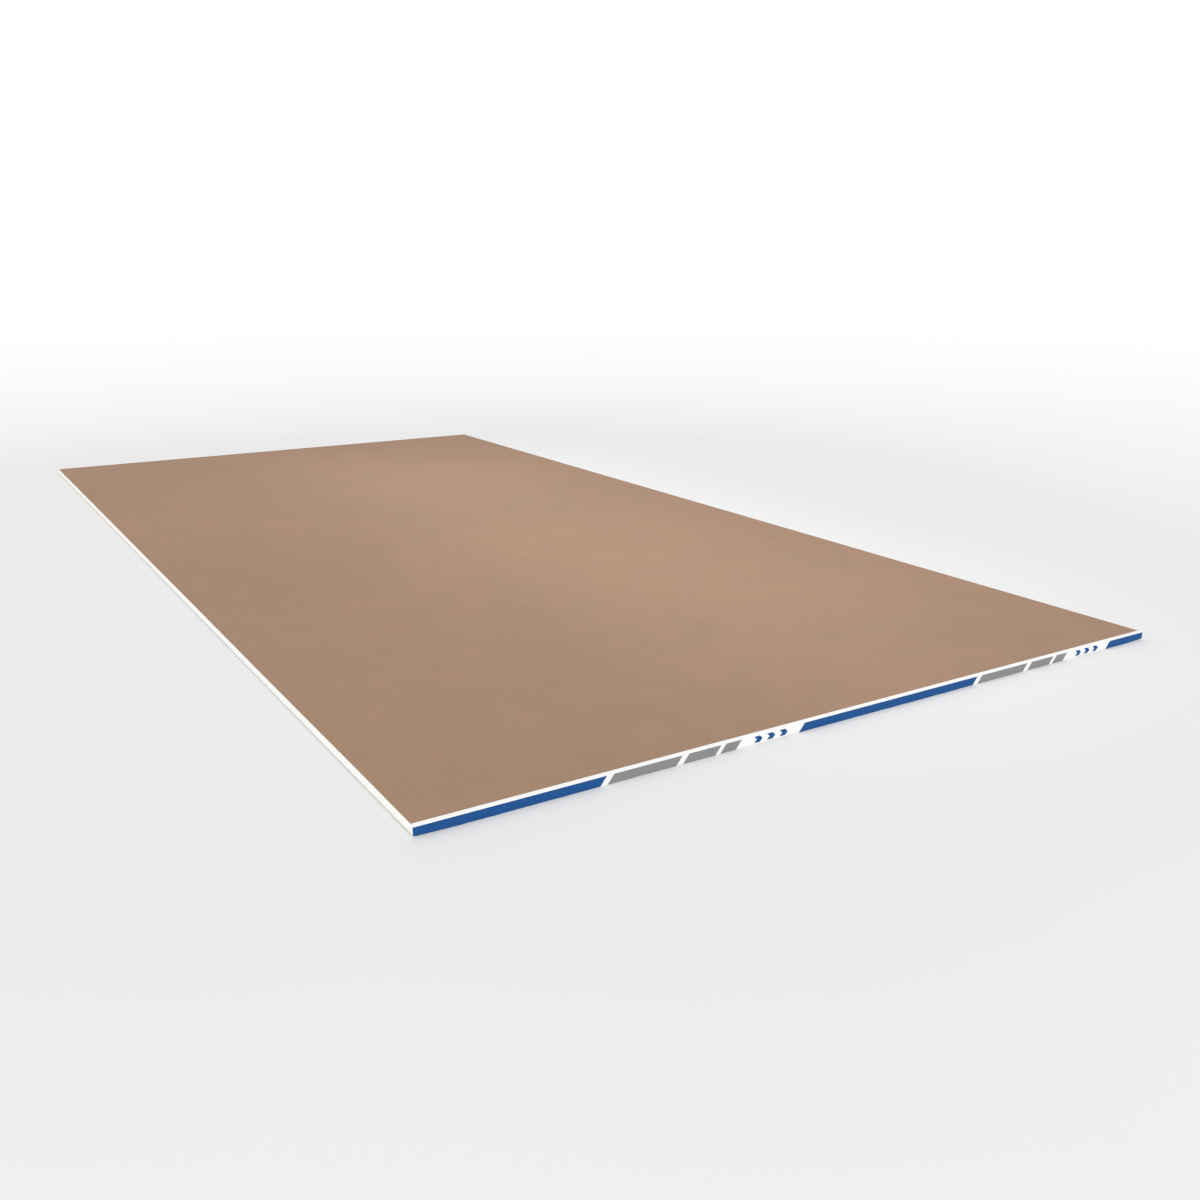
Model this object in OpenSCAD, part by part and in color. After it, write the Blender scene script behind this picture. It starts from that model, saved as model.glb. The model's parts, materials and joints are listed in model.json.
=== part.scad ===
// Drywall sheet: a gypsum board with tapered, paper-bound long edges and a printed
// paper tape folded over each cut end. It lies on its face, with its back paper up.
// X runs across the board, Y along it, and Z up from the face to the back.

/* [Board] */
// Width across the two long edges, in millimetres
board_width = 1216.6; // [600:0.1:1400]
// Length between the two cut ends
board_length = 2435.8; // [1200:0.1:4900]
// Thickness of the board between its tapered edges
board_thickness = 12.7; // [6.3:0.1:26]

/* [Long edges] */
// Width of the shallow taper along each long edge, on the face side
taper_width = 60; // [30:0.5:100]
// How much thinner the board is at its edge than in its middle
taper_depth = 1.5; // [0.5:0.1:2.5]
// Radius of the paper's fold from the edge to the back
back_fold_radius = 1; // [0.4:0.1:5]
// Radius of the paper's fold from the edge to the tapered face
face_fold_radius = 1.5; // [0.5:0.1:3]

/* [End tapes] */
// Thickness of the tape's paper
tape_thickness = 0.25; // [0.1:0.01:0.6]
// Width of the lap that the tape makes on the back
tape_lap = 6; // [2:0.5:60]

/* [Hidden] */
$fn = 64;

half_width = board_width / 2;
edge_thickness = board_thickness - taper_depth;
taper_angle = atan(taper_depth / taper_width);

// Neither fold takes more than half of the edge
back_fold = min(back_fold_radius, edge_thickness / 2);
face_fold = min(face_fold_radius, edge_thickness / 2);

// Centre of the fold to the back, and of the fold that rolls into the taper
back_fold_x = half_width - back_fold;
back_fold_z = board_thickness - back_fold;
face_fold_x = half_width - face_fold;
face_fold_z = (taper_width - face_fold) * tan(taper_angle) + face_fold / cos(taper_angle);

// Where the fold leaves the taper
taper_end_x = face_fold_x + face_fold * sin(taper_angle);
taper_end_z = face_fold_z - face_fold * cos(taper_angle);

// One half of the board's cross-section, from its middle to a long edge
module half_section() {
    polygon([
        [0, 0],
        [half_width - taper_width, 0],
        [taper_end_x, taper_end_z],
        [half_width, face_fold_z],
        [half_width, back_fold_z],
        [back_fold_x, board_thickness],
        [0, board_thickness]
    ]);
    translate([face_fold_x, face_fold_z]) circle(r = face_fold);
    translate([back_fold_x, back_fold_z]) circle(r = back_fold);
}

module board_section() {
    half_section();
    mirror([1, 0]) half_section();
}

// A length of the board's section that starts at y and runs towards +Y
module along_board(y, length) {
    translate([0, y + length, 0]) rotate([90, 0, 0]) linear_extrude(length) board_section();
}

// The gypsum board with its paper, which is one piece as it comes off the line
module board() {
    color("#ad8f78") along_board(-board_length / 2, board_length);
}

// The tape's folded edge, seen along X: the lap on the back, the round fold over the
// board's end corner, and the top of the leg that goes on down the cut end
module lap_profile() {
    square([tape_lap, tape_thickness]);
    intersection() {
        circle(r = tape_thickness);
        translate([-tape_thickness, 0]) square(tape_thickness);
    }
    translate([-tape_thickness, -back_fold]) square([tape_thickness, back_fold]);
}

// A strip of tape that covers one cut end and laps onto the flat of the back
module end_tape() {
    color("#2c5a92") {
        along_board(-board_length / 2 - tape_thickness, tape_thickness);
        translate([-back_fold_x, -board_length / 2, board_thickness])
            rotate([90, 0, 90]) linear_extrude(2 * back_fold_x) lap_profile();
    }
}

module front_end_tape() {
    end_tape();
}

module rear_end_tape() {
    rotate([0, 0, 180]) end_tape();
}

board();
front_end_tape();
rear_end_tape();
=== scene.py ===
# %% [markdown]
# # A drywall sheet, lying on its face
#
# A drywall sheet is a slab of gypsum, cast between two papers. The pale face paper wraps round the long
# edges, and a brown back paper closes the other side. The long edges are thinner on the face side, so
# that two sheets side by side leave a shallow trough for joint tape, and each sawn end is covered by a
# folded strip of printed paper tape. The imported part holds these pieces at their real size. This lesson
# models them again with finer folds and paper edges, and gives each paper a finish of its own.

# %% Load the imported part
import json
import math
import bmesh
import bpy
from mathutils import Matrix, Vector

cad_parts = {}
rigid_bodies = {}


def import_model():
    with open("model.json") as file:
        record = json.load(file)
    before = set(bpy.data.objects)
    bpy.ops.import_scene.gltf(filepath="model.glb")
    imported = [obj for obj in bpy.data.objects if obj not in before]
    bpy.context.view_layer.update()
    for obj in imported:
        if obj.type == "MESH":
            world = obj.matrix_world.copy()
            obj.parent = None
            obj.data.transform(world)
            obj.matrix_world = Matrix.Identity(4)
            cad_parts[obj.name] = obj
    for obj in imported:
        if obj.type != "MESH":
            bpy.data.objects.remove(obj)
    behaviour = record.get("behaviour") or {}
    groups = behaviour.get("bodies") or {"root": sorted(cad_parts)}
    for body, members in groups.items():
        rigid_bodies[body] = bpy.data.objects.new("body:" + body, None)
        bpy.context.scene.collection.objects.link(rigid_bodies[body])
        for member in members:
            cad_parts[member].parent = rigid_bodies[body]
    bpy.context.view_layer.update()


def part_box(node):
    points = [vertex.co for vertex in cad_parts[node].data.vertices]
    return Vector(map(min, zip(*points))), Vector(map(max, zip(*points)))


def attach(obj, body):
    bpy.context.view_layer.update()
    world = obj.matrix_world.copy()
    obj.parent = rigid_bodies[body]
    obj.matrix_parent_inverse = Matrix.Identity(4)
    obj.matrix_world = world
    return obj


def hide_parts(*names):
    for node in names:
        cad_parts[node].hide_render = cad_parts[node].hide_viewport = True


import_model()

# %% [markdown]
# ## Sizes
#
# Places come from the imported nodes, so the scene follows the part if it is packed again at another
# size. The fine sizes of the edge don't show in a node's box, so they are repeated here, in metres.
# Lengths that differ by less than TINY count as the same, and the first step of every fold is more.

# %% Sizes of the board and its tape
board_low, board_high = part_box("board")
tape_low, tape_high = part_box("front_end_tape")
WIDTH, LENGTH, THICKNESS = board_high - board_low
HALF_WIDTH = WIDTH / 2
HALF_LENGTH = LENGTH / 2
BOTTOM = board_low.z
TOP = board_high.z
TAPE_THICKNESS = board_low.y - tape_low.y
TAPE_LAP = tape_high.y - board_low.y
TAPER_WIDTH = 0.060
TAPER_DEPTH = 0.0015
BACK_FOLD = 0.001
FACE_FOLD = 0.0015
PAPER = 0.0003
TINY = 0.00001
print("board", [round(side, 5) for side in (WIDTH, LENGTH, THICKNESS)])
print("tape", round(TAPE_THICKNESS, 5), "thick, lap", round(TAPE_LAP, 4))

# %% [markdown]
# ## Camera
#
# The camera stands where the photograph's stood, measured from the sheet's near lower corner. Its place,
# its turn and its focal length were solved from the straight edges in the photograph, which is square,
# so the lens is the focal length in pixels as a share of the picture's side.

# %% Make the camera
PHOTO_SIDE_PX = 1200
FOCAL_PX = 1163.05
SENSOR_MM = 36
CAMERA_FROM_CORNER = Vector((-0.4038, -1.0131, 0.5732))
CAMERA_YAW = math.radians(31.86)
CAMERA_PITCH = math.radians(16.54)
look = Vector((
    math.sin(CAMERA_YAW) * math.cos(CAMERA_PITCH),
    math.cos(CAMERA_YAW) * math.cos(CAMERA_PITCH),
    -math.sin(CAMERA_PITCH),
))
bpy.ops.object.camera_add(
    location=board_low + CAMERA_FROM_CORNER,
    rotation=look.to_track_quat("-Z", "Y").to_euler(),
)
camera = bpy.context.object
camera.data.sensor_width = SENSOR_MM
camera.data.lens = SENSOR_MM * FOCAL_PX / PHOTO_SIDE_PX
bpy.context.scene.camera = camera
print("lens", round(camera.data.lens, 2), "mm")

# %% [markdown]
# ## Studio
#
# A product picture of a pale thing wants light from everywhere. The world is a white room with a dimmer
# ceiling: its brightness follows the height of each direction. A wide, soft sun from over the near left
# corner gives the edges their form, and lights the whole floor alike. A faint strip lamp over the back
# lifts its middle, as in the photograph, and its narrow spread keeps a pool of light off the floor. The
# colours are shown as they are, without a film curve, so that paper white stays white.

# %% Floor and world
FLOOR_SIDE = 400
FLOOR_GAP = 0.0002
WALL_LIGHT = 1.0
CEILING_LIGHT = 0.62
CEILING_STARTS = 0.25
bpy.ops.mesh.primitive_plane_add(size=FLOOR_SIDE, location=(0, 0, BOTTOM - FLOOR_GAP))
floor = bpy.context.object
floor.name = "floor"

world = bpy.data.worlds.new("studio")
world.use_nodes = True
sky = world.node_tree.nodes["Background"]
sky.inputs["Color"].default_value = (1, 1, 1, 1)
direction = world.node_tree.nodes.new("ShaderNodeTexCoord")
height = world.node_tree.nodes.new("ShaderNodeSeparateXYZ")
dimming = world.node_tree.nodes.new("ShaderNodeMapRange")
dimming.inputs["From Min"].default_value = CEILING_STARTS
dimming.inputs["To Min"].default_value = WALL_LIGHT
dimming.inputs["To Max"].default_value = CEILING_LIGHT
world.node_tree.links.new(direction.outputs["Generated"], height.inputs["Vector"])
world.node_tree.links.new(height.outputs["Z"], dimming.inputs["Value"])
world.node_tree.links.new(dimming.outputs["Result"], sky.inputs["Strength"])
bpy.context.scene.world = world
bpy.context.scene.view_settings.view_transform = "Standard"
print("floor", FLOOR_SIDE, "m, light from", CEILING_LIGHT, "above to", WALL_LIGHT, "all round")

# %% Lamps
SUN_STRENGTH = 1.05
SUN_ANGLE = math.radians(50)
SUN_FROM = Vector((-1, -1.1, 1.3))
LAMP_PLACE = Vector((0.22, -0.1, 0.8))
LAMP_WIDTH = 0.6
LAMP_LENGTH = 2.0
LAMP_SPREAD = math.radians(80)
LAMP_POWER = 1.1
bpy.ops.object.light_add(type="SUN", rotation=SUN_FROM.to_track_quat("Z", "Y").to_euler())
sun = bpy.context.object
sun.data.energy = SUN_STRENGTH
sun.data.angle = SUN_ANGLE
bpy.ops.object.light_add(type="AREA", location=LAMP_PLACE)
lamp = bpy.context.object
lamp.data.shape = "RECTANGLE"
lamp.data.size = LAMP_WIDTH
lamp.data.size_y = LAMP_LENGTH
lamp.data.spread = LAMP_SPREAD
lamp.data.energy = LAMP_POWER
print("sun", SUN_STRENGTH, "and lamp", LAMP_POWER)

# %% [markdown]
# ## Modelling helpers
#
# Blender's operators act on whatever is selected, as they do by hand. A few short helpers keep that in
# order: one leaves a single object selected, one picks its corners, edges or faces by their place, one
# adds a modifier and applies it at once, and one copies faces into a new piece, as paper is peeled off
# a board. Paper is never quite straight, so others cut a piece into short lengths and move some of its
# corners by a cloud texture.

# %% Helpers for selecting
SELECT_MODES = {"verts": "VERT", "edges": "EDGE", "faces": "FACE"}
SMOOTH_ANGLE = math.radians(35)


def alone(piece):
    """Leaves one object selected and active."""
    bpy.ops.object.select_all(action="DESELECT")
    piece.select_set(True)
    bpy.context.view_layer.objects.active = piece


def edit(piece):
    """Opens one object in edit mode."""
    alone(piece)
    bpy.ops.object.mode_set(mode="EDIT")


def close(piece):
    """Leaves edit mode and shades the round stretches smooth."""
    bpy.ops.object.mode_set(mode="OBJECT")
    alone(piece)
    bpy.ops.object.shade_smooth_by_angle(angle=SMOOTH_ANGLE)


def pick(piece, kind, wanted):
    """Selects the verts, edges or faces whose corners all pass a test, and counts them."""
    bpy.ops.mesh.select_mode(type=SELECT_MODES[kind])
    bpy.ops.mesh.select_all(action="DESELECT")
    mesh = bmesh.from_edit_mesh(piece.data)
    chosen = 0
    for part in getattr(mesh, kind):
        corners = [part.co] if kind == "verts" else [corner.co for corner in part.verts]
        if all(wanted(corner) for corner in corners):
            part.select_set(True)
            chosen += 1
    mesh.select_flush_mode()
    bmesh.update_edit_mesh(piece.data)
    return chosen


def level(value, wanted):
    """True where two lengths are the same."""
    return abs(value - wanted) < TINY


print("select modes:", *SELECT_MODES.values())

# %% Helpers that model
ACROSS = Vector((1, 0, 0))
ALONG = Vector((0, 1, 0))


def modify(piece, kind, **settings):
    """Adds a modifier, sets it and applies it."""
    alone(piece)
    bpy.ops.object.modifier_add(type=kind)
    modifier = piece.modifiers[-1]
    for name, value in settings.items():
        setattr(modifier, name, value)
    bpy.ops.object.modifier_apply(modifier=modifier.name)


def peel(source, name, wanted):
    """Copies the faces of an object that pass a test into a piece of their own."""
    before = set(bpy.data.objects)
    edit(source)
    pick(source, "faces", wanted)
    bpy.ops.mesh.duplicate()
    bpy.ops.mesh.separate(type="SELECTED")
    bpy.ops.object.mode_set(mode="OBJECT")
    piece = (set(bpy.data.objects) - before).pop()
    piece.name = name
    return piece


def slice_along(piece, axis, length, count):
    """Cuts a piece across one axis into a number of equal lengths."""
    for number in range(1, count):
        bpy.ops.mesh.select_all(action="SELECT")
        bpy.ops.mesh.bisect(plane_co=axis * length * (number / count - 0.5), plane_no=axis)


def clouds(name, size):
    """A soft cloud texture with spots of one size."""
    texture = bpy.data.textures.new(name, type="CLOUDS")
    texture.noise_scale = size
    return texture


def shake(piece, texture, direction, strength, middle, wanted):
    """Moves some corners along one axis, by how far a texture is from its middle level."""
    edit(piece)
    pick(piece, "verts", wanted)
    bpy.ops.object.vertex_group_assign_new()
    bpy.ops.object.mode_set(mode="OBJECT")
    modify(
        piece, "DISPLACE", texture=texture, texture_coords="LOCAL", direction=direction,
        mid_level=middle, strength=strength, vertex_group=piece.vertex_groups[-1].name,
    )


print("axes:", list(ACROSS), "across and", list(ALONG), "along")

# %% [markdown]
# ## The board
#
# The board comes off the line as one long bar with a constant section, so it could be an extruded curve. A
# box is quicker to read: it is cut along the two lines where the taper starts, the lower long edges
# are raised by the taper's depth, and the arrises are bevelled to the radius of the paper's folds. The box
# stops one paper's thickness under the back, where the back paper goes.

# %% Model the board
CORE_TOP = TOP - PAPER
FOLD_STEPS = 8
bpy.ops.object.select_all(action="DESELECT")
bpy.ops.mesh.primitive_cube_add(
    size=1,
    location=(0, 0, (BOTTOM + CORE_TOP) / 2),
    scale=(WIDTH, LENGTH, CORE_TOP - BOTTOM),
)
board = bpy.context.object
board.name = "gypsum_board"
bpy.ops.object.transform_apply(location=True, rotation=True, scale=True)
edit(board)
for side in (-1, 1):
    bpy.ops.mesh.select_all(action="SELECT")
    bpy.ops.mesh.bisect(plane_co=(side * (HALF_WIDTH - TAPER_WIDTH), 0, 0), plane_no=(1, 0, 0))
pick(board, "verts", lambda at: level(abs(at.x), HALF_WIDTH) and level(at.z, BOTTOM))
bpy.ops.transform.translate(value=(0, 0, TAPER_DEPTH))
print("arrises on the back:", pick(
    board, "edges", lambda at: level(abs(at.x), HALF_WIDTH) and level(at.z, CORE_TOP)))
bpy.ops.mesh.bevel(offset=BACK_FOLD, segments=FOLD_STEPS, affect="EDGES")
print("arrises on the face:", pick(
    board, "edges", lambda at: level(abs(at.x), HALF_WIDTH) and level(at.z, BOTTOM + TAPER_DEPTH)))
bpy.ops.mesh.bevel(offset=FACE_FOLD, segments=FOLD_STEPS, affect="EDGES")
close(board)
print("board faces:", len(board.data.polygons))

# %% [markdown]
# ## The back paper
#
# The brown paper is laid on last, over the face paper's turned edges, and its own long edges are the cut
# edges of a roll: nearly straight, with a slight wander. It starts as a copy of the board's upper faces.
# Cut into short lengths it can follow that wander, as a Displace modifier with a soft cloud texture moves
# only its outer corners. Solidify then gives the paper its thickness.

# %% Model the back paper
PAPER_SLICES = 122
EDGE_WANDER = 0.0009
WANDER_SIZE = 0.25
BOTH_WAYS = 0.5
paper_half_width = HALF_WIDTH - BACK_FOLD
wander = clouds("edge_wander", WANDER_SIZE)
back_paper = peel(board, "back_paper", lambda at: level(at.z, CORE_TOP))
edit(back_paper)
slice_along(back_paper, ALONG, LENGTH, PAPER_SLICES)
bpy.ops.object.mode_set(mode="OBJECT")
shake(back_paper, wander, "X", EDGE_WANDER, BOTH_WAYS, lambda at: level(abs(at.x), paper_half_width))
modify(back_paper, "SOLIDIFY", thickness=PAPER, offset=1)
close(back_paper)
print("back paper faces:", len(back_paper.data.polygons))

# %% [markdown]
# ## The end tapes
#
# Each sawn end is closed by a strip of paper tape that folds over the end's upper corner onto the back.
# Its leg has the outline of the board's end, tapers and all, so it starts as a copy of those faces. Cuts
# across it let the paper give a little, the upper edge is extruded over the back as the lap, and a bevel
# rounds the fold. The lap's free edge lifts in places, and the lower edge is a rough knife cut.

# %% A function that models one end tape
TAPE_SLICES = 154
TAPE_FOLD = 0.0003
TAPE_FOLD_STEPS = 3
LAP_LIFT = 0.0003
LIFT_SIZE = 0.06
KNIFE_WANDER = 0.0005
KNIFE_SIZE = 0.02
UP_ONLY = 0
lift = clouds("paper_lift", LIFT_SIZE)
knife = clouds("knife_wander", KNIFE_SIZE)


def end_tape(name, end):
    """Models the tape over the end at y = end * HALF_LENGTH."""
    end_y = end * HALF_LENGTH
    tape = peel(board, name, lambda at: level(at.y, end_y))
    edit(tape)
    slice_along(tape, ACROSS, WIDTH, TAPE_SLICES)
    pick(tape, "verts", lambda at: level(at.z, CORE_TOP))
    bpy.ops.transform.translate(value=(0, 0, PAPER))
    pick(tape, "edges", lambda at: level(at.z, TOP))
    bpy.ops.mesh.extrude_region_move(TRANSFORM_OT_translate={"value": (0, -end * TAPE_LAP, 0)})
    pick(tape, "edges", lambda at: level(at.z, TOP) and level(at.y, end_y))
    bpy.ops.mesh.bevel(offset=TAPE_FOLD, segments=TAPE_FOLD_STEPS, affect="EDGES")
    bpy.ops.object.mode_set(mode="OBJECT")
    shake(tape, lift, "Z", LAP_LIFT, UP_ONLY, lambda at: level(at.y, end * (HALF_LENGTH - TAPE_LAP)))
    shake(tape, knife, "Z", KNIFE_WANDER, UP_ONLY, lambda at: level(at.z, BOTTOM))
    modify(tape, "SOLIDIFY", thickness=TAPE_THICKNESS, offset=1)
    close(tape)
    return tape


print("each slice of tape:", round(WIDTH / TAPE_SLICES * 1000, 2), "mm")

# %% Make both tapes
front_tape = end_tape("front_tape", -1)
rear_tape = end_tape("rear_tape", 1)

# %% [markdown]
# ## A map for the tapes
#
# When the part is exported, each finish is baked into a square picture. A tape is a hundred times as long
# as it is wide, so on one square picture its print would blur. Seams cut it into short lengths, each a
# whole number of its slices, and one more runs round its inner side, so that it unwraps as rows that fill
# the square. The map gets a name of its own.

# %% Unwrap both tapes in rows
MAP_NAME = "OFBake"
MAP_ROWS = 11
MAP_MARGIN = 0.004
PAPER_CORNER = math.radians(60)


def unwrap_in_rows(tape, end):
    """Maps a tape in equal lengths, with its inner side apart from its outer one."""
    tape.data.uv_layers.active.name = MAP_NAME
    edit(tape)
    pick(tape, "faces", lambda at: level(at.y, end * HALF_LENGTH))
    bpy.ops.mesh.faces_select_linked_flat(sharpness=PAPER_CORNER)
    bpy.ops.mesh.region_to_loop()
    bpy.ops.mesh.mark_seam()
    for row in range(1, MAP_ROWS):
        cut_x = WIDTH * (row / MAP_ROWS - 0.5)
        pick(tape, "edges", lambda at: level(at.x, cut_x))
        bpy.ops.mesh.mark_seam()
    bpy.ops.mesh.select_all(action="SELECT")
    bpy.ops.uv.unwrap(method="CONFORMAL", margin_method="FRACTION", margin=MAP_MARGIN)
    bpy.ops.object.mode_set(mode="OBJECT")


unwrap_in_rows(front_tape, -1)
unwrap_in_rows(rear_tape, 1)
print("seams on each tape:", [sum(e.use_seam for e in t.data.edges) for t in (front_tape, rear_tape)])

# %% [markdown]
# ## Finishes as expressions
#
# A finish is a small sum of noises, masks and colours. Written node by node it is long, so two classes
# let it be written as Python: Value wraps one socket and turns arithmetic into Math nodes, and Finish
# holds a material's tree and adds any other node by its type, its settings and its inputs.

# %% The class Value


class Value:
    """A socket of a finish. Arithmetic on it adds Math nodes."""

    def __init__(self, finish, socket):
        self.finish = finish
        self.socket = socket

    def math(self, operation, *terms):
        """One Math node on the terms given."""
        return self.finish.node("ShaderNodeMath", {"operation": operation}, dict(enumerate(terms)))

    def __add__(self, other):
        return self.math("ADD", self, other)

    def __radd__(self, other):
        return self.math("ADD", other, self)

    def __sub__(self, other):
        return self.math("SUBTRACT", self, other)

    def __rsub__(self, other):
        return self.math("SUBTRACT", other, self)

    def __mul__(self, other):
        return self.math("MULTIPLY", self, other)

    def __rmul__(self, other):
        return self.math("MULTIPLY", other, self)

    def __truediv__(self, other):
        return self.math("DIVIDE", self, other)

    def __rtruediv__(self, other):
        return self.math("DIVIDE", other, self)

    def __gt__(self, other):
        return self.math("GREATER_THAN", self, other)

    def __lt__(self, other):
        return self.math("LESS_THAN", self, other)

    def __abs__(self):
        return self.math("ABSOLUTE", self)

    def fraction(self):
        """What is left of the value past its last whole number."""
        return self.math("FRACT", self)

    def between(self, low, high):
        """0 at low, 1 at high and a straight line between them."""
        return self.finish.node(
            "ShaderNodeMapRange", {"clamp": True}, {"Value": self, "From Min": low, "From Max": high})


print("class made:", Value.__name__)

# %% The class Finish


class Finish:
    """A material with a Principled surface, and ways to add nodes to it."""

    def __init__(self, name):
        self.material = bpy.data.materials.new(name)
        self.material.use_nodes = True
        self.tree = self.material.node_tree
        self.surface = self.tree.nodes["Principled BSDF"]
        self.place = self.node("ShaderNodeTexCoord", output="Object")

    def node(self, kind, settings=None, inputs=None, output=0):
        """Adds a node, sets it, fills its sockets with values or links, and gives one output."""
        made = self.tree.nodes.new(kind)
        for name, value in (settings or {}).items():
            if name == "stops":
                self.fill_ramp(made.color_ramp, value)
            else:
                setattr(made, name, value)
        self.fill(made, inputs or {})
        return Value(self, made.outputs[output])

    def fill(self, made, inputs):
        """Sets or links a node's sockets."""
        for name, value in inputs.items():
            if isinstance(value, Value):
                self.tree.links.new(value.socket, made.inputs[name])
            else:
                made.inputs[name].default_value = value

    def fill_ramp(self, ramp, stops):
        """Gives a colour ramp hard steps, each from its place to the next."""
        ramp.interpolation = "CONSTANT"
        while len(ramp.elements) < len(stops):
            ramp.elements.new(0.5)
        for element, (place, colour) in zip(ramp.elements, stops):
            element.position = place
            element.color = colour

    def axes(self):
        """The place on the piece as three numbers."""
        parts = self.node("ShaderNodeSeparateXYZ", None, {"Vector": self.place}).socket.node
        return [Value(self, parts.outputs[axis]) for axis in "XYZ"]

    def noise(self, grain, detail=3.0, turn=0.0):
        """Soft noise from 0 to 1. Grain is the size of its spots in metres, or one size for each axis."""
        size = grain if isinstance(grain, tuple) else (grain, grain, grain)
        spot = self.node("ShaderNodeMapping", {"vector_type": "TEXTURE"}, {
            "Vector": self.place, "Rotation": (0, 0, turn), "Scale": size})
        return self.node("ShaderNodeTexNoise", None, {"Vector": spot, "Scale": 1.0, "Detail": detail})

    def blend(self, share, first, second):
        """A colour that goes from the first to the second as the share goes from 0 to 1."""
        first_socket, second_socket, result = 6, 7, 2
        return self.node(
            "ShaderNodeMix", {"data_type": "RGBA"},
            {0: share, first_socket: first, second_socket: second}, result)

    def relief(self, height, depth):
        """A bump from a height of 0 to 1, which stands for that depth in metres."""
        return self.node("ShaderNodeBump", None, {"Height": height, "Distance": depth, "Strength": 1.0})


print("class made:", Finish.__name__)

# %% A function for colours


def shade(red, green, blue):
    """A colour given as on a screen, from 0 to 255, in the linear numbers that a shader takes."""
    def linear(level):
        share = level / 255
        return share / 12.92 if share <= 0.04045 else ((share + 0.055) / 1.055) ** 2.4
    return (linear(red), linear(green), linear(blue), 1)


print("middle grey, as a shader takes it:", round(shade(128, 128, 128)[0], 3))

# %% [markdown]
# ## Back paper finish
#
# The back paper is grey-brown board made from waste paper. From a few steps away it is even, with slow
# warm and cool clouds. Nearer, it has faint streaks along the machine's direction, which is the sheet's
# length, and up close short fibres, some paler and some darker, that lie every way. The sizes of all
# these are in metres. Most of a noise lies between the levels of MOST_NOISE, and fibres are its two ends.

# %% The brown back paper
BACK_COOL = shade(155, 128, 105)
BACK_WARM = shade(172, 136, 112)
BACK_PALE = shade(196, 172, 150)
BACK_DARK = shade(122, 97, 78)
BACK_CLOUDS = 0.6
BACK_BLOTCHES = 0.07
BACK_STREAKS = (0.009, 0.35, 1)
CLOUD_SHARE = 0.45
BLOTCH_SHARE = 0.35
STREAK_SHARE = 0.20
BACK_GRAIN = 0.0014
BACK_RELIEF = 0.0001
MOST_NOISE = (0.25, 0.75)
FIBRE_SIZE = (0.0004, 0.004, 1)
FIBRE_TURNS = 5
PALE_ENDS = (0.66, 0.80)
DARK_ENDS = (0.33, 0.20)
FULL_PALE = 1.6
FULL_DARK = 1.8
PALE_RISE = 0.5
DARK_DIP = 0.3


def fibres(finish):
    """Pale and dark strokes that lie in several directions, each as a share from 0 up."""
    pale = 0
    dark = 0
    for number in range(FIBRE_TURNS):
        turn = math.pi * number / FIBRE_TURNS
        stroke = finish.noise(FIBRE_SIZE, detail=1, turn=turn)
        pale = stroke.between(*PALE_ENDS) + pale
        dark = stroke.between(*DARK_ENDS) + dark
    return pale, dark


def back_paper_finish():
    """Grey-brown paper with clouds, streaks and fibres."""
    finish = Finish("back_paper_brown")
    cloud = finish.noise(BACK_CLOUDS, detail=2)
    blotch = finish.noise(BACK_BLOTCHES, detail=4)
    streak = finish.noise(BACK_STREAKS)
    tone = cloud * CLOUD_SHARE + blotch * BLOTCH_SHARE + streak * STREAK_SHARE
    colour = finish.blend(tone.between(*MOST_NOISE), BACK_COOL, BACK_WARM)
    pale, dark = fibres(finish)
    colour = finish.blend(pale.between(0, FULL_PALE), colour, BACK_PALE)
    colour = finish.blend(dark.between(0, FULL_DARK), colour, BACK_DARK)
    grain = finish.noise(BACK_GRAIN)
    finish.fill(finish.surface, {
        "Base Color": colour,
        "Roughness": 0.80 + 0.12 * blotch,
        "Specular IOR Level": 0.2,
        "Normal": finish.relief(grain + pale * PALE_RISE - dark * DARK_DIP, BACK_RELIEF),
    })
    return finish.material


back_paper.data.materials.clear()
back_paper.data.materials.append(back_paper_finish())
print("back paper:", back_paper.data.materials[0].name)

# %% [markdown]
# ## Face paper and core
#
# The face paper is a pale ivory sheet that takes paint, smoother than the back. It shows on the long edges
# and underneath. The sawn ends are bare gypsum with fine pores, and the tape hides almost all of it.

# %% The ivory face paper
FACE_IVORY = shade(251, 250, 247)
FACE_CREAM = shade(246, 244, 238)
FACE_FIBRE = shade(232, 226, 214)
FACE_CLOUDS = 0.05
FACE_STREAKS = (0.004, 0.30, 0.004)
FACE_FIBRES = (0.0005, 0.005, 0.0005)
FACE_FIBRE_SHARE = 0.4
FACE_GRAIN = 0.0011
FACE_RELIEF = 0.00004


def face_paper_finish():
    """Ivory paper with slow clouds, streaks and a few fibres."""
    finish = Finish("face_paper_ivory")
    cloud = finish.noise(FACE_CLOUDS, detail=4)
    streak = finish.noise(FACE_STREAKS)
    fibre = finish.noise(FACE_FIBRES, detail=1)
    colour = finish.blend((cloud * 0.5 + streak * 0.5).between(*MOST_NOISE), FACE_IVORY, FACE_CREAM)
    colour = finish.blend(fibre.between(*PALE_ENDS) * FACE_FIBRE_SHARE, colour, FACE_FIBRE)
    finish.fill(finish.surface, {
        "Base Color": colour,
        "Roughness": 0.62 + 0.14 * cloud,
        "Specular IOR Level": 0.35,
        "Normal": finish.relief(finish.noise(FACE_GRAIN), FACE_RELIEF),
    })
    return finish.material


board.data.materials.append(face_paper_finish())
print("board:", board.data.materials[0].name)

# %% The gypsum core on the sawn ends
CORE_WHITE = shade(238, 237, 232)
CORE_TONE_AND_PORE_SHADE = shade(205, 203, 197)
CORE_CLOUDS = 0.016
PORE_SIZE = 0.0007
PORE_ENDS = (0.58, 0.68)
PORE_SHADE_SHARE = 0.7
PORE_DEPTH = 0.0003
CORE_SLOT = 1


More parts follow.
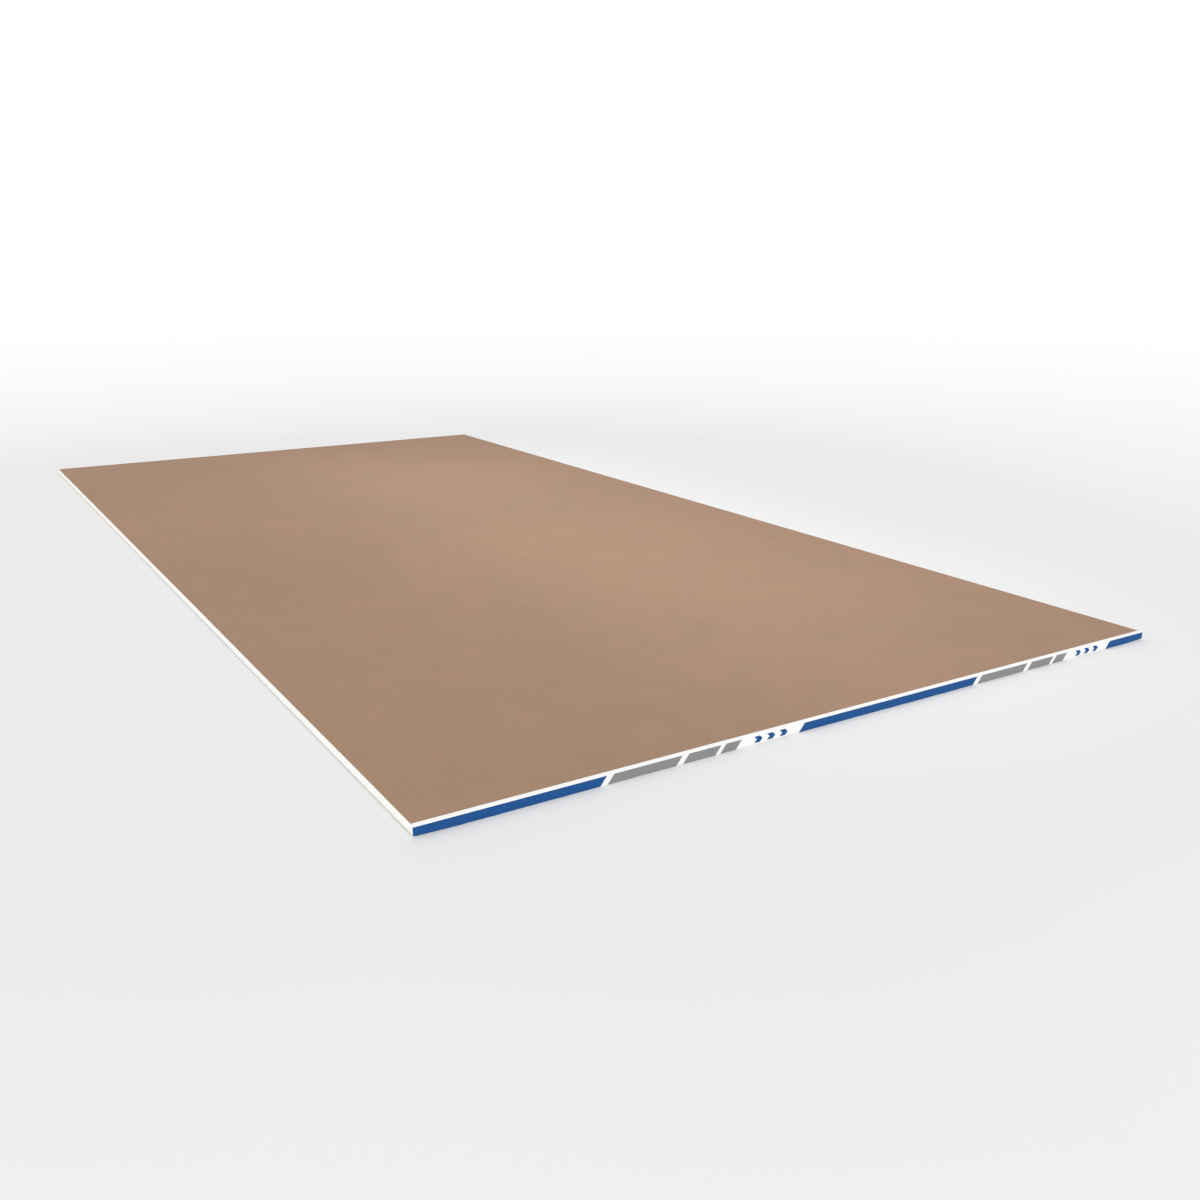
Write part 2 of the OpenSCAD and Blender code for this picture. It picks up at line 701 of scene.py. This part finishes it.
def core_finish():
    """Bare gypsum with fine pores, whose hollows are painted grey as shade."""
    finish = Finish("gypsum_core")
    pores = finish.noise(PORE_SIZE, detail=4).between(*PORE_ENDS)
    cloud = finish.noise(CORE_CLOUDS)
    # The clouds vary the grey at random, and the pores' grey is painted shade in their hollows, on top of
    # their bump.
    colour = finish.blend(cloud * (1 - PORE_SHADE_SHARE) + pores * PORE_SHADE_SHARE, CORE_WHITE, CORE_TONE_AND_PORE_SHADE)
    finish.fill(finish.surface, {
        "Base Color": colour,
        "Roughness": 0.85 + 0.1 * cloud,
        "Normal": finish.relief(1 - pores, PORE_DEPTH),
    })
    return finish.material


board.data.materials.append(core_finish())
edit(board)
board.active_material_index = CORE_SLOT
for end_y in (-HALF_LENGTH, HALF_LENGTH):
    print("sawn end faces:", pick(board, "faces", lambda at: level(at.y, end_y)))
    bpy.ops.object.material_slot_assign()
bpy.ops.object.mode_set(mode="OBJECT")
print("board finishes:", [slot.name for slot in board.material_slots])

# %% [markdown]
# ## Tape finish
#
# The tape is smooth white paper, printed on a roll before it is cut, so its design simply repeats: a long
# blue bar, three grey bars, each half of the last, and a white field with blue arrow points. The bars
# all lean the same way. They come from a colour ramp with hard steps over the place along the tape,
# counted to the right as one faces either end, and the ink is thinner in places. The lap and a thin line
# under the fold stay white.

# %% The bars of the print
TAPE_WHITE = shade(246, 246, 246)
INK_BLUE = shade(24, 82, 143)
INK_GREY = shade(139, 140, 142)
PRINT_REPEATS = 2
print_length = WIDTH / PRINT_REPEATS
BARS = [
    (0.316, INK_BLUE), (0.008, TAPE_WHITE), (0.096, INK_GREY), (0.008, TAPE_WHITE),
    (0.048, INK_GREY), (0.008, TAPE_WHITE), (0.024, INK_GREY), (0, TAPE_WHITE),
]


def bar_stops(bars):
    """Where each bar of one repeat begins, as a share of the repeat, with its colour."""
    stops = []
    begin = 0
    for length, colour in bars:
        stops.append((begin / print_length, colour))
        begin += length
    return stops


print("print repeats every", round(print_length * 1000), "mm")

# %% The printed tape paper
PRINT_START = 0.090
PRINT_LEAN = 0.8
PRINT_MARGIN = 0.0011
ARROW_COUNT = 3
ARROW_STEP = 0.020
ARROW_SHARE = 0.45
ARROW_HALF = 0.0042
ARROWS_INSET = 0.033
NOISE_MIDDLE = 0.5
RAGGED_GRAIN = 0.0011
RAGGED_EDGE = 0.0003
INK_GRAIN = 0.0008
INK_ENDS = (0.45, 0.90)
INK_THINNING = 0.04
TAPE_CLOUDS = 0.033
TAPE_GRAIN = 0.0016
TAPE_RELIEF = 0.00004


def tape_finish():
    """White paper printed with leaning bars and a row of arrow points."""
    finish = Finish("printed_tape_paper")
    x, y, z = finish.axes()
    rightwards = x * ((y < 0) * 2 - 1)
    ragged = (finish.noise(RAGGED_GRAIN) - NOISE_MIDDLE) * RAGGED_EDGE
    start = rightwards + PRINT_START + ragged
    leaning = (start - z * PRINT_LEAN) / print_length
    bars = finish.node("ShaderNodeValToRGB", {"stops": bar_stops(BARS)}, {"Fac": leaning.fraction()})
    field_begin = sum(length for length, colour in BARS)
    from_middle = abs(z - (BOTTOM + TOP) / 2)
    upright = (start / print_length).fraction() * print_length
    steps = (upright + from_middle - field_begin - ARROWS_INSET) / ARROW_STEP
    row = (steps > 0) * (steps < ARROW_COUNT) * (from_middle < ARROW_HALF)
    design = finish.blend(row * (steps.fraction() < ARROW_SHARE), bars, INK_BLUE)
    thin_ink = finish.noise(INK_GRAIN, detail=4).between(*INK_ENDS) * INK_THINNING
    design = finish.blend(thin_ink, design, TAPE_WHITE)
    colour = finish.blend(z < TOP - PRINT_MARGIN, TAPE_WHITE, design)
    cloud = finish.noise(TAPE_CLOUDS)
    finish.fill(finish.surface, {
        "Base Color": colour,
        "Roughness": 0.50 + 0.14 * cloud,
        "Specular IOR Level": 0.12,
        "Normal": finish.relief(finish.noise(TAPE_GRAIN), TAPE_RELIEF),
    })
    return finish.material


tape_paper = tape_finish()
for tape in (front_tape, rear_tape):
    tape.data.materials.clear()
    tape.data.materials.append(tape_paper)
print("tapes:", tape_paper.name)

# %% [markdown]
# ## Floor finish
#
# The floor is only there to catch the light. Round the sheet it is a very pale grey, so that white paper
# still stands out from it, and further off it turns white and runs into the white room without a horizon.
# Seen from low down, far floor is pressed together as one over its distance, so the fade goes by that too.

# %% The floor
FLOOR_NEAR = shade(234, 234, 234)
FLOOR_FAR = (1, 1, 1, 1)
FADE_STARTS = 1.5
FADE_ENDS = 9.0
WEAR_SIZE = 1.2
WEAR_DEPTH = 0.5


def floor_finish():
    """Pale grey that turns white with its distance from the sheet."""
    finish = Finish("studio_floor")
    distance = finish.node("ShaderNodeVectorMath", {"operation": "LENGTH"}, {0: finish.place}, "Value")
    wear = (finish.noise(WEAR_SIZE) - NOISE_MIDDLE) * WEAR_DEPTH
    fade = (1 / (distance + wear)).between(1 / FADE_STARTS, 1 / FADE_ENDS)
    colour = finish.blend(fade, FLOOR_NEAR, FLOOR_FAR)
    finish.fill(finish.surface, {"Base Color": colour, "Roughness": 0.9, "Specular IOR Level": 0.0})
    return finish.material


floor.data.materials.append(floor_finish())
print("floor:", floor.data.materials[0].name)

# %% [markdown]
# ## Hand the pieces to the part
#
# Each piece rides on the part's only body. The board and its back paper together stand for the packed
# board, and each tape stands for its own node.

# %% Ride, replace and finish
for piece in (board, back_paper, front_tape, rear_tape):
    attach(piece, "root")
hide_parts("board")
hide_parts("front_end_tape")
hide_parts("rear_end_tape")
